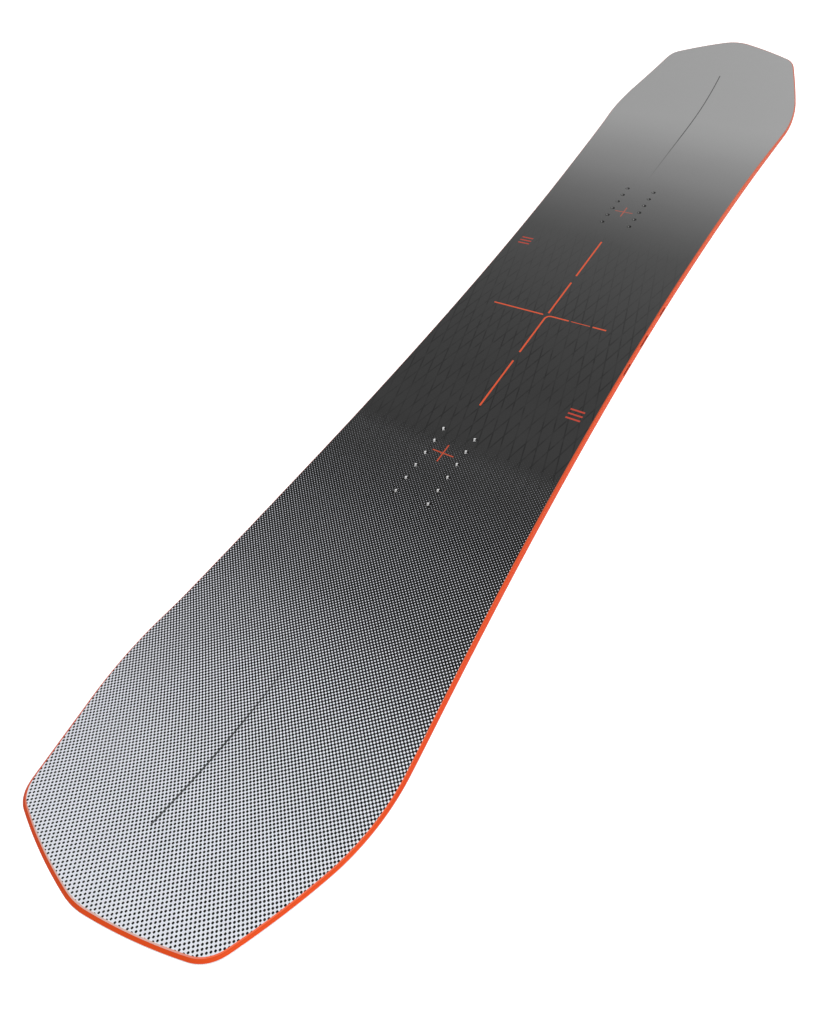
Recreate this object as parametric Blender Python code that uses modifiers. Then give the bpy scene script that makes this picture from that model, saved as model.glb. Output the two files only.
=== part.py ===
"""Bare directional snowboard, modelled as its laminated parts, in metres with +Z up.

Origin: midpoint between the two insert packs, on the running surface of the base.
+X points to the nose, +Y to the left edge, +Z out of the topsheet.
Bottom to top the sandwich is: base sheet and steel edges, rubber foils, bottom laminate, wood core with
side walls and tip spacers, carbon tapes, top laminate, topsheet. Threaded inserts stand in the core.
"""
import math

import bmesh
import bpy
from mathutils import Vector

MM = 0.001

# ---- Outline, as seen from above. A tip, shoulder or widest point is a corner before it is rounded off.
NOSE_TIP_X = 790 * MM
NOSE_SHOULDER = (761 * MM, 104.5 * MM)
NOSE_WIDE_X = 620 * MM
TAIL_TIP_X = -759 * MM
TAIL_SHOULDER = (-735 * MM, 102 * MM)
TAIL_WIDE_X = -605 * MM
WAIST_X = -17 * MM
WAIST_HALF_WIDTH = 125.3 * MM
SIDECUT_RADIUS = 8.05

# How far each corner's rounding reaches along its two sides: tip, shoulder, widest point.
NOSE_ROUNDING = (19 * MM, 12 * MM, 47 * MM)
TAIL_ROUNDING = (10 * MM, 14 * MM, 43 * MM)
# How far the middle of each tip facet bulges out: tip to shoulder, shoulder to widest point.
NOSE_BULGE = (2.6 * MM, 4.9 * MM)
TAIL_BULGE = (2.8 * MM, 3.1 * MM)

# ---- Side profile: flat between the contact points, then a cubic rise (second and third order terms).
NOSE_CONTACT_X = 512 * MM
TAIL_CONTACT_X = -521 * MM
NOSE_RISE = (0.0, 2.44)
TAIL_RISE = (0.730, 0.679)

# ---- Total thickness: constant in the middle, thinning towards both tips.
MIDDLE_THICKNESS = 9.2 * MM
TIP_THICKNESS = 4.8 * MM
TAPER_START_X = 350 * MM
TAPER_END_X = 700 * MM

# ---- Layers: heights above the running surface, and depths below the top surface.
GLUE_LINE = 0.15 * MM
BASE_THICKNESS = 1.5 * MM
BASE_RIM_THICKNESS = 0.6 * MM
STEEL_HEIGHT = 2.1 * MM
STEEL_WIDTH = 2.4 * MM
FLANGE_HEIGHTS = (0.75 * MM, 1.15 * MM)
FLANGE_REACH = 8.0 * MM
FOIL_HEIGHTS = (1.3 * MM, 1.5 * MM)
BOTTOM_LAMINATE_HEIGHTS = (1.65 * MM, 2.1 * MM)
CORE_BOTTOM = 2.25 * MM
CORE_TOP_DEPTH = 1.3 * MM
TOP_LAMINATE_DEPTHS = (1.15 * MM, 0.65 * MM)
TOPSHEET_THICKNESS = 0.5 * MM

# ---- Side walls lean in and end in a bevel above their knee, so the topsheet is narrower than the base.
RIM_INSET = 2.0 * MM
RIM_INSET_PER_THICKNESS = 0.16
KNEE_HEIGHT_SHARE = 0.83
KNEE_INSET_SHARE = 0.55
SIDE_WALL_LIP = 6.0 * MM
SIDE_WALL_WIDTH = 9.0 * MM
CORE_END_TAIL_X = -600 * MM
CORE_END_NOSE_X = 620 * MM
BUTT_GAP = 0.3 * MM
SPACER_GAP = 1.0 * MM

# ---- Shallow decorative slots in the right side wall: (middle, length) along the board.
WALL_SLOTS = ((67 * MM, 17 * MM), (4 * MM, 24 * MM), (-52 * MM, 22 * MM))
SLOT_HEIGHT = 2.4 * MM
SLOT_DEPTH = 0.7 * MM
SLOT_MIDDLE = 4.9 * MM

# ---- Core stringers: the lines between them, outwards from the centre line.
STRINGER_EDGES = (8 * MM, 32 * MM, 58 * MM, 84 * MM)
STRINGER_NAMES = ("core_inner", "core_mid", "core_tape", "core_outer")
TAPE_THICKNESS = 0.3 * MM
TAPE_EDGES = (62 * MM, 80 * MM)
TAPE_END_CLEARANCE = 30 * MM

# ---- Insert packs: two columns of six M6 inserts each.
PACK_X = 280 * MM
COLUMN_Y = 20 * MM
ROWS = 6
ROW_PITCH = 20 * MM
FLANGE_RADIUS = 7.5 * MM
FLANGE_THICKNESS = 0.8 * MM
BARREL_RADIUS = 4.0 * MM
THREAD_RADIUS = 2.6 * MM
BORE_FLOOR = 1.2 * MM
TOPSHEET_HOLE_RADIUS = 3.1 * MM
INSERT_SIDES = 12
HOLE_GAP = 0.3 * MM
MAT_THICKNESS = 0.3 * MM
MAT_HALF_SIZE = (66 * MM, 30 * MM)

# ---- Sampling of the outline.
TIP_STEP = 15 * MM
MIDDLE_STEP = 25 * MM
ROUNDING_STEPS = 4
MERGE_DISTANCE = 1e-6
SHARP_ANGLE = math.radians(30)
CUT_MARGIN = 5 * MM

# ---- Looks: base colour, roughness, metallic.
LOOKS = {
    "topsheet": ((0.055, 0.055, 0.055), 0.35, 0.0),
    "laminate": ((0.55, 0.56, 0.45), 0.45, 0.0),
    "abs": ((0.87, 0.14, 0.03), 0.4, 0.0),
    "steel": ((0.55, 0.56, 0.58), 0.3, 1.0),
    "rubber": ((0.02, 0.02, 0.02), 0.8, 0.0),
    "base": ((0.03, 0.03, 0.035), 0.3, 0.0),
    "poplar": ((0.72, 0.55, 0.36), 0.6, 0.0),
    "beech": ((0.58, 0.38, 0.22), 0.6, 0.0),
    "carbon": ((0.02, 0.02, 0.022), 0.35, 0.0),
    "stainless": ((0.6, 0.6, 0.6), 0.25, 1.0),
}


# ---------------------------------------------------------------- side profile and thickness
def rise(run, terms):
    second_order, third_order = terms
    return second_order * run ** 2 + third_order * run ** 3


def rise_slope(run, terms):
    second_order, third_order = terms
    return 2 * second_order * run + 3 * third_order * run ** 2


def running_surface(x):
    """Height and slope of the base's running surface at x."""
    if x > NOSE_CONTACT_X:
        run = x - NOSE_CONTACT_X
        return rise(run, NOSE_RISE), rise_slope(run, NOSE_RISE)
    if x < TAIL_CONTACT_X:
        run = TAIL_CONTACT_X - x
        return rise(run, TAIL_RISE), -rise_slope(run, TAIL_RISE)
    return 0.0, 0.0


def thickness(x):
    """Thickness of the whole sandwich at x."""
    t = (abs(x) - TAPER_START_X) / (TAPER_END_X - TAPER_START_X)
    t = min(max(t, 0.0), 1.0)
    ease = t * t * (3 - 2 * t)
    return MIDDLE_THICKNESS + (TIP_THICKNESS - MIDDLE_THICKNESS) * ease


def place(x, y, height):
    """The point above (x, y) on the running surface, height away from it along its normal."""
    z, slope = running_surface(x)
    angle = math.atan(slope)
    return Vector((x - height * math.sin(angle), y, z + height * math.cos(angle)))


def from_base(height):
    """A level measured up from the running surface."""
    return lambda x: height


def from_top(depth):
    """A level measured down from the top surface."""
    return lambda x: thickness(x) - depth


def knee(x):
    """The level where the side wall's face turns into the bevel."""
    return thickness(x) * KNEE_HEIGHT_SHARE


def leans(x):
    """How far the side wall's face and its bevel lean in per height, at x."""
    total = RIM_INSET + RIM_INSET_PER_THICKNESS * thickness(x)
    wall_lean = total * KNEE_INSET_SHARE / (knee(x) - CORE_BOTTOM)
    bevel_lean = total * (1 - KNEE_INSET_SHARE) / (thickness(x) - knee(x))
    return wall_lean, bevel_lean


def lean_at(level):
    """How far the leaning side wall stands in from the outline, at a level."""
    def inset(x):
        wall_lean, bevel_lean = leans(x)
        wall_height = min(level(x), knee(x)) - CORE_BOTTOM
        bevel_height = max(level(x) - knee(x), 0.0)
        return wall_height * wall_lean + bevel_height * bevel_lean
    return inset


def fixed(inset):
    return lambda x: inset


# ---------------------------------------------------------------- outline
def sidecut(x):
    return Vector((x, WAIST_HALF_WIDTH + (x - WAIST_X) ** 2 / (2 * SIDECUT_RADIUS)))


def facet(start, end, bulge):
    """A nearly straight side between two corners, bulging out by its middle, as a function of 0 to 1."""
    along = end - start
    outward = Vector((-along.y, along.x)).normalized()
    return lambda t: start + along * t + outward * (4 * bulge * t * (1 - t))


def sidecut_side(start_x, end_x):
    return lambda t: sidecut(start_x + (end_x - start_x) * t)


def side_length(side):
    return (side(1.0) - side(0.0)).length


def rounded_corner(before, corner, after, first_t=0.0):
    """Points of a quadratic curve that rounds a corner off."""
    points = []
    for i in range(ROUNDING_STEPS + 1):
        t = first_t + (1 - first_t) * i / ROUNDING_STEPS
        points.append(before * (1 - t) ** 2 + corner * (2 * t * (1 - t)) + after * t ** 2)
    return points


def half_outline():
    """The left half of the outline, from the tail's tip to the nose's tip."""
    tail_tip = Vector((TAIL_TIP_X, 0.0))
    tail_shoulder = Vector(TAIL_SHOULDER)
    tail_wide = sidecut(TAIL_WIDE_X)
    nose_wide = sidecut(NOSE_WIDE_X)
    nose_shoulder = Vector(NOSE_SHOULDER)
    nose_tip = Vector((NOSE_TIP_X, 0.0))
    corners = [tail_tip, tail_shoulder, tail_wide, nose_wide, nose_shoulder, nose_tip]
    reaches = list(TAIL_ROUNDING) + list(reversed(NOSE_ROUNDING))
    sides = [
        facet(tail_tip, tail_shoulder, TAIL_BULGE[0]),
        facet(tail_shoulder, tail_wide, TAIL_BULGE[1]),
        sidecut_side(TAIL_WIDE_X, NOSE_WIDE_X),
        facet(nose_wide, nose_shoulder, NOSE_BULGE[1]),
        facet(nose_shoulder, nose_tip, NOSE_BULGE[0]),
    ]
    steps = [TIP_STEP * 2, TIP_STEP, MIDDLE_STEP, TIP_STEP, TIP_STEP * 2]
    points = []
    for i, side in enumerate(sides):
        length = side_length(side)
        start_t = reaches[i] / length
        end_t = 1 - reaches[i + 1] / length
        if i == 0:
            leaving = side(start_t)
            mirrored = Vector((leaving.x, -leaving.y))
            points += rounded_corner(mirrored, tail_tip, leaving, first_t=0.5)
        count = max(1, round(length * (end_t - start_t) / steps[i]))
        for k in range(1, count):
            points.append(side(start_t + (end_t - start_t) * k / count))
        arriving = side(end_t)
        if i + 1 < len(sides):
            leaving = sides[i + 1](reaches[i + 1] / side_length(sides[i + 1]))
            points += rounded_corner(arriving, corners[i + 1], leaving)
        else:
            mirrored = Vector((arriving.x, -arriving.y))
            points += reversed(rounded_corner(mirrored, nose_tip, arriving, first_t=0.5))
    points[0].y = 0.0
    points[-1].y = 0.0
    return points


def stations():
    """The outline's points, each with the unit vector that points straight into the board."""
    points = half_outline()
    result = []
    for i, point in enumerate(points):
        before = points[i - 1] if i > 0 else Vector((points[1].x, -points[1].y))
        after = points[i + 1] if i + 1 < len(points) else Vector((points[-2].x, -points[-2].y))
        along = (after - before).normalized()
        result.append((point, Vector((along.y, -along.x))))
    return result


def inset_point(station, inset, level, side=1):
    """A station's point, moved into the board by an inset and up to a level; side -1 is the right half."""
    point, inward = station
    edge = point + inward * inset(point.x)
    return place(edge.x, side * edge.y, level(edge.x))


def between(all_stations, start_x, end_x):
    """The stations from start_x to end_x, with a new one at each of these two places."""
    def cut(x):
        for first, second in zip(all_stations, all_stations[1:]):
            if first[0].x <= x <= second[0].x:
                t = (x - first[0].x) / (second[0].x - first[0].x)
                return first[0].lerp(second[0], t), first[1].lerp(second[1], t).normalized()
        return None
    inner = [s for s in all_stations if start_x + MM < s[0].x < end_x - MM]
    start = [cut(start_x)] if start_x > all_stations[0][0].x else [all_stations[0]]
    end = [cut(end_x)] if end_x < all_stations[-1][0].x else [all_stations[-1]]
    return start + inner + end


# ---------------------------------------------------------------- building objects
def clear_scene():
    for item in list(bpy.data.objects):
        bpy.data.objects.remove(item, do_unlink=True)


def new_collection(name):
    collection = bpy.data.collections.new(name)
    bpy.context.scene.collection.children.link(collection)
    return collection


def make_material(name):
    colour, roughness, metallic = LOOKS[name]
    material = bpy.data.materials.new(name)
    material.use_nodes = True
    shader = material.node_tree.nodes["Principled BSDF"]
    shader.inputs["Base Color"].default_value = (*colour, 1.0)
    shader.inputs["Roughness"].default_value = roughness
    shader.inputs["Metallic"].default_value = metallic
    return material


def add_object(name, mesh, collection, look):
    mesh.materials.append(make_material(look))
    item = bpy.data.objects.new(name, mesh)
    collection.objects.link(item)
    return item


def loft(name, rings, collection, look):
    """One closed solid through a row of rings; rings that close on a line are merged shut."""
    shape = bmesh.new()
    loops = [[shape.verts.new(point) for point in ring] for ring in rings]
    size = len(rings[0])
    for first, second in zip(loops, loops[1:]):
        for k in range(size):
            shape.faces.new((first[k], first[(k + 1) % size], second[(k + 1) % size], second[k]))
    for loop in (loops[0], loops[-1]):
        if max(abs(vert.co.y) for vert in loop) > MERGE_DISTANCE:
            shape.faces.new(loop)
    bmesh.ops.remove_doubles(shape, verts=shape.verts, dist=MERGE_DISTANCE)
    bmesh.ops.recalc_face_normals(shape, faces=shape.faces)
    mesh = bpy.data.meshes.new(name)
    shape.to_mesh(mesh)
    shape.free()
    mesh.shade_smooth()
    mesh.set_sharp_from_angle(angle=SHARP_ANGLE)
    return add_object(name, mesh, collection, look)


def plate(name, row, section, collection, look):
    """A layer across the board: the section lists (inset, level) up its left edge."""
    rings = []
    for station in row:
        left = [inset_point(station, inset, level) for inset, level in section]
        right = [inset_point(station, inset, level, side=-1) for inset, level in reversed(section)]
        rings.append(left + right)
    return loft(name, rings, collection, look)


def ribbon(name, row, section, side, collection, look):
    """A strip that follows one edge: the section lists (inset, level) around its cut end."""
    rings = []
    for station in row:
        ring = [inset_point(station, inset, level, side) for inset, level in section]
        for point in ring:
            point.y = side * max(side * point.y, BUTT_GAP / 2)
        rings.append(ring)
    return loft(name, rings, collection, look)


def bar(name, row, inner_y, outer_y, low, high, collection, look):
    """A strip along the board between two lines; each line is a function of the station."""
    rings = []
    for station in row:
        x = station[0].x
        near = inner_y(station)
        far = outer_y(station)
        corners = ((near, low), (far, low), (far, high), (near, high))
        rings.append([place(x, y, level(x)) for y, level in corners])
    return loft(name, rings, collection, look)


# ---------------------------------------------------------------- sheets and edges
def make_base_sheet(row, collection):
    step = FLANGE_REACH + GLUE_LINE * 2
    outer = STEEL_WIDTH + GLUE_LINE
    section = [
        (fixed(outer), from_base(0.0)),
        (fixed(outer), from_base(BASE_RIM_THICKNESS)),
        (fixed(step), from_base(BASE_RIM_THICKNESS)),
        (fixed(step), from_base(BASE_THICKNESS)),
    ]
    plate("base_sheet", row, section, collection, "base")


def make_steel_edge(name, row, side, collection):
    """A running edge: a square outer bead with a flange that reaches in over the base."""
    low, high = FLANGE_HEIGHTS
    section = [
        (fixed(0.0), from_base(0.0)),
        (fixed(0.0), from_base(STEEL_HEIGHT)),
        (fixed(STEEL_WIDTH), from_base(STEEL_HEIGHT)),
        (fixed(STEEL_WIDTH), from_base(high)),
        (fixed(FLANGE_REACH), from_base(high)),
        (fixed(FLANGE_REACH), from_base(low)),
        (fixed(STEEL_WIDTH), from_base(low)),
        (fixed(STEEL_WIDTH), from_base(0.0)),
    ]
    ribbon(name, row, section, side, collection, "steel")


def make_rubber_foil(name, row, side, collection):
    inner = STEEL_WIDTH + GLUE_LINE
    low, high = FOIL_HEIGHTS
    section = [
        (fixed(inner), from_base(low)),
        (fixed(inner), from_base(high)),
        (fixed(FLANGE_REACH), from_base(high)),
        (fixed(FLANGE_REACH), from_base(low)),
    ]
    ribbon(name, row, section, side, collection, "rubber")


def make_bottom_laminate(row, collection):
    outer = STEEL_WIDTH + GLUE_LINE
    low, high = BOTTOM_LAMINATE_HEIGHTS
    section = [(fixed(outer), from_base(low)), (fixed(outer), from_base(high))]
    plate("bottom_laminate", row, section, collection, "laminate")


def make_top_laminate(row, collection):
    outer = SIDE_WALL_LIP + GLUE_LINE
    low, high = TOP_LAMINATE_DEPTHS
    section = [(fixed(outer), from_top(low)), (fixed(outer), from_top(high))]
    return plate("top_laminate", row, section, collection, "laminate")


def make_topsheet(row, collection):
    underside = from_top(TOPSHEET_THICKNESS)
    surface = from_top(0.0)
    section = [(lean_at(underside), underside), (lean_at(surface), surface)]
    return plate("topsheet", row, section, collection, "topsheet")


# ---------------------------------------------------------------- side walls and tip spacers
def lip_section():
    """The outer face and top of the plastic rim: shared by the side walls and the tip spacers."""
    lip_top = from_top(TOPSHEET_THICKNESS + GLUE_LINE)
    return [
        (fixed(0.0), from_base(CORE_BOTTOM)),
        (lean_at(knee), knee),
        (lean_at(lip_top), lip_top),
        (fixed(SIDE_WALL_LIP), lip_top),
        (fixed(SIDE_WALL_LIP), from_top(CORE_TOP_DEPTH)),
    ]


def make_side_wall(name, row, side, collection):
    section = lip_section() + [
        (fixed(SIDE_WALL_WIDTH), from_top(CORE_TOP_DEPTH)),
        (fixed(SIDE_WALL_WIDTH), from_base(CORE_BOTTOM)),
    ]
    return ribbon(name, row, section, side, collection, "abs")


def make_slot_cutter(number, middle, length, collection):
    """A slot's cutter, tilted with the right side wall's face and reaching SLOT_DEPTH into it."""
    half = Vector((length / 2, SLOT_DEPTH, SLOT_HEIGHT / 2))
    cutter = box_between(f"wall_slot_{number}", -half, half, collection)
    face_y = sidecut(middle).y - lean_at(from_base(SLOT_MIDDLE))(middle)
    cutter.location = (middle, -face_y, SLOT_MIDDLE)
    wall_lean, _ = leans(middle)
    cutter.rotation_euler = (-math.atan(wall_lean), 0.0, 0.0)
    return mark_cutter(cutter)


def make_tip_spacers(all_stations, collection):
    nose_row = between(all_stations, CORE_END_NOSE_X + SPACER_GAP, NOSE_TIP_X)
    tail_row = between(all_stations, TAIL_TIP_X, CORE_END_TAIL_X - SPACER_GAP)
    plate("nose_spacer", nose_row, lip_section(), collection, "abs")
    plate("tail_spacer", tail_row, lip_section(), collection, "abs")


# ---------------------------------------------------------------- core
def make_core(row, collection):
    """Nine wood stringers side by side; returns the three that hold inserts."""
    low = from_base(CORE_BOTTOM)
    high = from_top(CORE_TOP_DEPTH)
    under_tape = from_top(CORE_TOP_DEPTH + TAPE_THICKNESS + GLUE_LINE)
    middle = STRINGER_EDGES[0]
    holders = [bar("core_middle", row, lambda s: -middle, lambda s: middle, low, high, collection, "beech")]
    for side, side_name in ((1, "left"), (-1, "right")):
        for i, stem in enumerate(STRINGER_NAMES):
            top = under_tape if stem == "core_tape" else high
            look = "beech" if stem in ("core_inner", "core_outer") else "poplar"
            outer = stringer_outer_line(i, side)
            inner = constant_line(side * (STRINGER_EDGES[i] + GLUE_LINE))
            stringer = bar(f"{stem}_{side_name}", row, inner, outer, low, top, collection, look)
            if stem == "core_inner":
                holders.append(stringer)
    return holders


def constant_line(y):
    return lambda station: y


def stringer_outer_line(i, side):
    """The outer line of stringer i: the next joint, or the side wall for the last one."""
    if i + 1 < len(STRINGER_EDGES):
        return constant_line(side * STRINGER_EDGES[i + 1])
    room = SIDE_WALL_WIDTH + GLUE_LINE
    return lambda station: side * (station[0].y + station[1].y * room)


def make_carbon_tapes(all_stations, collection):
    row = between(all_stations, CORE_END_TAIL_X + TAPE_END_CLEARANCE, CORE_END_NOSE_X - TAPE_END_CLEARANCE)
    low = from_top(CORE_TOP_DEPTH + TAPE_THICKNESS)
    high = from_top(CORE_TOP_DEPTH)
    near, far = TAPE_EDGES
    for side, side_name in ((1, "left"), (-1, "right")):
        inner = constant_line(side * near)
        outer = constant_line(side * far)
        bar(f"carbon_tape_{side_name}", row, inner, outer, low, high, collection, "carbon")


# ---------------------------------------------------------------- inserts
def pack_positions(centre_x):
    """The twelve insert places of one pack, from the tail end, right then left."""
    places = []
    for row_number in range(ROWS):
        x = centre_x + (row_number - (ROWS - 1) / 2) * ROW_PITCH
        places.append((x, -COLUMN_Y))
        places.append((x, COLUMN_Y))
    return places


def box_between(name, low, high, collection):
    """An axis-aligned box between two corners."""
    shape = bmesh.new()
    bmesh.ops.create_cube(shape, size=1.0)
    size = Vector(high) - Vector(low)
    centre = (Vector(high) + Vector(low)) / 2
    for vert in shape.verts:
        vert.co = Vector(a * b for a, b in zip(vert.co, size)) + centre
    mesh = bpy.data.meshes.new(name)
    shape.to_mesh(mesh)
    shape.free()
    item = bpy.data.objects.new(name, mesh)
    collection.objects.link(item)
    return item


def mat_levels():
    low = CORE_BOTTOM
    return low, low + MAT_THICKNESS


def make_insert_mats(collection):
    """A thin mat under each pack keeps the flanges from showing through the base."""
    low, high = mat_levels()
    half_x, half_y = MAT_HALF_SIZE
    for name, centre_x in (("insert_mat_front", PACK_X), ("insert_mat_rear", -PACK_X)):
        low_corner = (centre_x - half_x, -half_y, low)
        high_corner = (centre_x + half_x, half_y, high)
        mat = box_between(name, low_corner, high_corner, collection)
        mat.data.materials.append(make_material("laminate"))


def profile_mesh(name, points):
    """An open profile in the XZ plane, ready to be turned about Z."""
    mesh = bpy.data.meshes.new(name)
    vertices = [(radius, 0.0, z) for radius, z in points]
    edges = [(i, i + 1) for i in range(len(points) - 1)]
    mesh.from_pydata(vertices, edges, [])
    return mesh


def turn(item):
    """Turn an object's profile about its own Z axis."""
    screw = item.modifiers.new("turn", "SCREW")
    screw.axis = "Z"
    screw.steps = INSERT_SIDES
    screw.render_steps = INSERT_SIDES
    screw.use_merge_vertices = True
    screw.merge_threshold = MERGE_DISTANCE
    screw.use_smooth_shade = True
    return item


def insert_profile():
    """Blind threaded bore, collar, barrel and flange, down the outer side to the flange's underside."""
    foot = mat_levels()[1] + GLUE_LINE
    mouth = MIDDLE_THICKNESS - TOPSHEET_THICKNESS - GLUE_LINE
    shoulder = foot + FLANGE_THICKNESS
    bore_floor = foot + BORE_FLOOR
    return [
        (0.0, bore_floor),
        (THREAD_RADIUS, bore_floor),
        (THREAD_RADIUS, mouth),
        (BARREL_RADIUS, mouth),
        (BARREL_RADIUS, shoulder),
        (FLANGE_RADIUS, shoulder),
        (FLANGE_RADIUS, foot),
        (0.0, foot),
    ]


def make_inserts(collection):
    mesh = profile_mesh("insert", insert_profile())
    mesh.materials.append(make_material("stainless"))
    for pack_name, centre_x in (("front", PACK_X), ("rear", -PACK_X)):
        for number, (x, y) in enumerate(pack_positions(centre_x), start=1):
            item = bpy.data.objects.new(f"insert_{pack_name}_{number:02d}", mesh)
            item.location = (x, y, 0.0)
            collection.objects.link(turn(item))


def stepped_hole(shape, x, y):
    """Add one insert's clearance hole to a mesh: narrow through the topsheet, wider for barrel and flange."""
    foot = mat_levels()[1]
    shoulder = foot + GLUE_LINE + FLANGE_THICKNESS + GLUE_LINE
    step = MIDDLE_THICKNESS - TOPSHEET_THICKNESS - GLUE_LINE / 2
    top = MIDDLE_THICKNESS + CUT_MARGIN
    outline = [
        (TOPSHEET_HOLE_RADIUS, top),
        (TOPSHEET_HOLE_RADIUS, step),
        (BARREL_RADIUS + HOLE_GAP, step),
        (BARREL_RADIUS + HOLE_GAP, shoulder),
        (FLANGE_RADIUS + HOLE_GAP, shoulder),
        (FLANGE_RADIUS + HOLE_GAP, foot),
    ]
    rings = []
    for radius, z in outline:
        ring = []
        for k in range(INSERT_SIDES):
            angle = 2 * math.pi * k / INSERT_SIDES
            ring.append(shape.verts.new((x + radius * math.cos(angle), y + radius * math.sin(angle), z)))
        rings.append(ring)
    for upper, lower in zip(rings, rings[1:]):
        for k in range(INSERT_SIDES):
            after = (k + 1) % INSERT_SIDES
            shape.faces.new((upper[k], lower[k], lower[after], upper[after]))
    shape.faces.new(rings[0])
    shape.faces.new(list(reversed(rings[-1])))


def make_hole_cutter(collection):
    shape = bmesh.new()
    for centre_x in (PACK_X, -PACK_X):
        for x, y in pack_positions(centre_x):
            stepped_hole(shape, x, y)
    bmesh.ops.recalc_face_normals(shape, faces=shape.faces)
    mesh = bpy.data.meshes.new("insert_holes")
    shape.to_mesh(mesh)
    shape.free()
    cutter = bpy.data.objects.new("insert_holes", mesh)
    collection.objects.link(cutter)
    return mark_cutter(cutter)


def make_mat_cutter(name, centre_x, collection):
    """The shallow pocket under the core that takes one mat."""
    low, high = mat_levels()
    half_x, half_y = MAT_HALF_SIZE
    room = GLUE_LINE
    low_corner = (centre_x - half_x - room, -half_y - room, low - CUT_MARGIN)
    high_corner = (centre_x + half_x + room, half_y + room, high + room)
    return mark_cutter(box_between(name, low_corner, high_corner, collection))


def mark_cutter(cutter):
    cutter.hide_render = True
    cutter.display_type = "WIRE"
    return cutter


def cut(item, cutter):
    boolean = item.modifiers.new(cutter.name, "BOOLEAN")
    boolean.operation = "DIFFERENCE"
    boolean.solver = "EXACT"
    boolean.object = cutter


# ---------------------------------------------------------------- the board
def build():
    clear_scene()
    board = new_collection("snowboard")
    cutters = new_collection("cutters")
    all_stations = stations()
    core_row = between(all_stations, CORE_END_TAIL_X, CORE_END_NOSE_X)
    overhang = SPACER_GAP - BUTT_GAP
    wall_row = between(all_stations, CORE_END_TAIL_X - overhang, CORE_END_NOSE_X + overhang)

    make_base_sheet(all_stations, board)
    make_bottom_laminate(all_stations, board)
    for side, side_name in ((-1, "right"), (1, "left")):
        make_steel_edge(f"steel_edge_{side_name}", all_stations, side, board)
        make_rubber_foil(f"rubber_foil_{side_name}", core_row, side, board)
    make_side_wall("side_wall_left", wall_row, 1, board)
    slotted_wall = make_side_wall("side_wall_right", wall_row, -1, board)
    make_tip_spacers(all_stations, board)
    insert_holders = make_core(core_row, board)
    make_carbon_tapes(all_stations, board)
    make_insert_mats(board)
    top_laminate = make_top_laminate(all_stations, board)
    topsheet = make_topsheet(all_stations, board)
    make_inserts(board)

    hole_cutter = make_hole_cutter(cutters)
    mat_cutters = [
        make_mat_cutter("mat_pocket_front", PACK_X, cutters),
        make_mat_cutter("mat_pocket_rear", -PACK_X, cutters),
    ]
    for number, (middle, length) in enumerate(WALL_SLOTS, start=1):
        cut(slotted_wall, make_slot_cutter(number, middle, length, cutters))
    for holder in insert_holders:
        for mat_cutter in mat_cutters:
            cut(holder, mat_cutter)
    for item in insert_holders[1:] + [top_laminate, topsheet]:
        cut(item, hole_cutter)


build()
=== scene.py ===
# Looks of the bare directional snowboard. The visible skins (topsheet, side walls, tip spacers, steel
# edges, base and threaded inserts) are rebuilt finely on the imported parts' own dimensions; the hidden
# layers keep their CAD solids and get materials. Metres, +X to the nose, +Y to the left edge, +Z up.
import math

import bmesh
import bpy
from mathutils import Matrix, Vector


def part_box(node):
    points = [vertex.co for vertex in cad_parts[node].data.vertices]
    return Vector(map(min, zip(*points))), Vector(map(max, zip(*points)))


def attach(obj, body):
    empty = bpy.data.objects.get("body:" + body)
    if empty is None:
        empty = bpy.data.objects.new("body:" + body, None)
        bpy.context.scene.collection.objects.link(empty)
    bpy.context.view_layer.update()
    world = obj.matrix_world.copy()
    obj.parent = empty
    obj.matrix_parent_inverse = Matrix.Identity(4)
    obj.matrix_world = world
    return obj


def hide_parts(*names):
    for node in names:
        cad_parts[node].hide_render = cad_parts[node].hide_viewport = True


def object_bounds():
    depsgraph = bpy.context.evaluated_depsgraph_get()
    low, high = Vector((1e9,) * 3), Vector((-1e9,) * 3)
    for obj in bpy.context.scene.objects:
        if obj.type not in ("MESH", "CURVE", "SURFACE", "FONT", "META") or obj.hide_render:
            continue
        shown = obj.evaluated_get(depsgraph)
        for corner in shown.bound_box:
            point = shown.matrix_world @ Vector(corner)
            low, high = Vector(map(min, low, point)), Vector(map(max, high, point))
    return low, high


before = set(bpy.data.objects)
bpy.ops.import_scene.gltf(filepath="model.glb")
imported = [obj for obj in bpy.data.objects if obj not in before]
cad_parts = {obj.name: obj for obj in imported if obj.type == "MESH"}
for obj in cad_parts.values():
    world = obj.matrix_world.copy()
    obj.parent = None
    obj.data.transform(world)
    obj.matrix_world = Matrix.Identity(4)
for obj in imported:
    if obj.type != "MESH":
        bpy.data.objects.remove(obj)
cad_low, cad_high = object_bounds()

MM = 0.001
BODY = "root"

# ---- Outline, as in the CAD. A tip, shoulder or widest point is a corner before it is rounded off. The
# roundings, in this order, say how far each one reaches along its sides; each facet bulges by its middle.
NOSE_TIP_X = 790 * MM
NOSE_SHOULDER = (761 * MM, 104.5 * MM)
NOSE_WIDE_X = 620 * MM
TAIL_TIP_X = -759 * MM
TAIL_SHOULDER = (-735 * MM, 102 * MM)
TAIL_WIDE_X = -605 * MM
WAIST_X = -17 * MM
WAIST_HALF_WIDTH = 125.3 * MM
SIDECUT_RADIUS = 8.05
NOSE_ROUNDING = (19 * MM, 12 * MM, 47 * MM)
TAIL_ROUNDING = (10 * MM, 14 * MM, 43 * MM)
NOSE_BULGE = (2.6 * MM, 4.9 * MM)
TAIL_BULGE = (2.8 * MM, 3.1 * MM)

# ---- Side profile and thickness, as in the CAD.
NOSE_CONTACT_X = 512 * MM
TAIL_CONTACT_X = -521 * MM
NOSE_RISE = (0.0, 2.44)
TAIL_RISE = (0.730, 0.679)
MIDDLE_THICKNESS = 9.2 * MM
TIP_THICKNESS = 4.8 * MM
TAPER_START_X = 350 * MM
TAPER_END_X = 700 * MM

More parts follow.
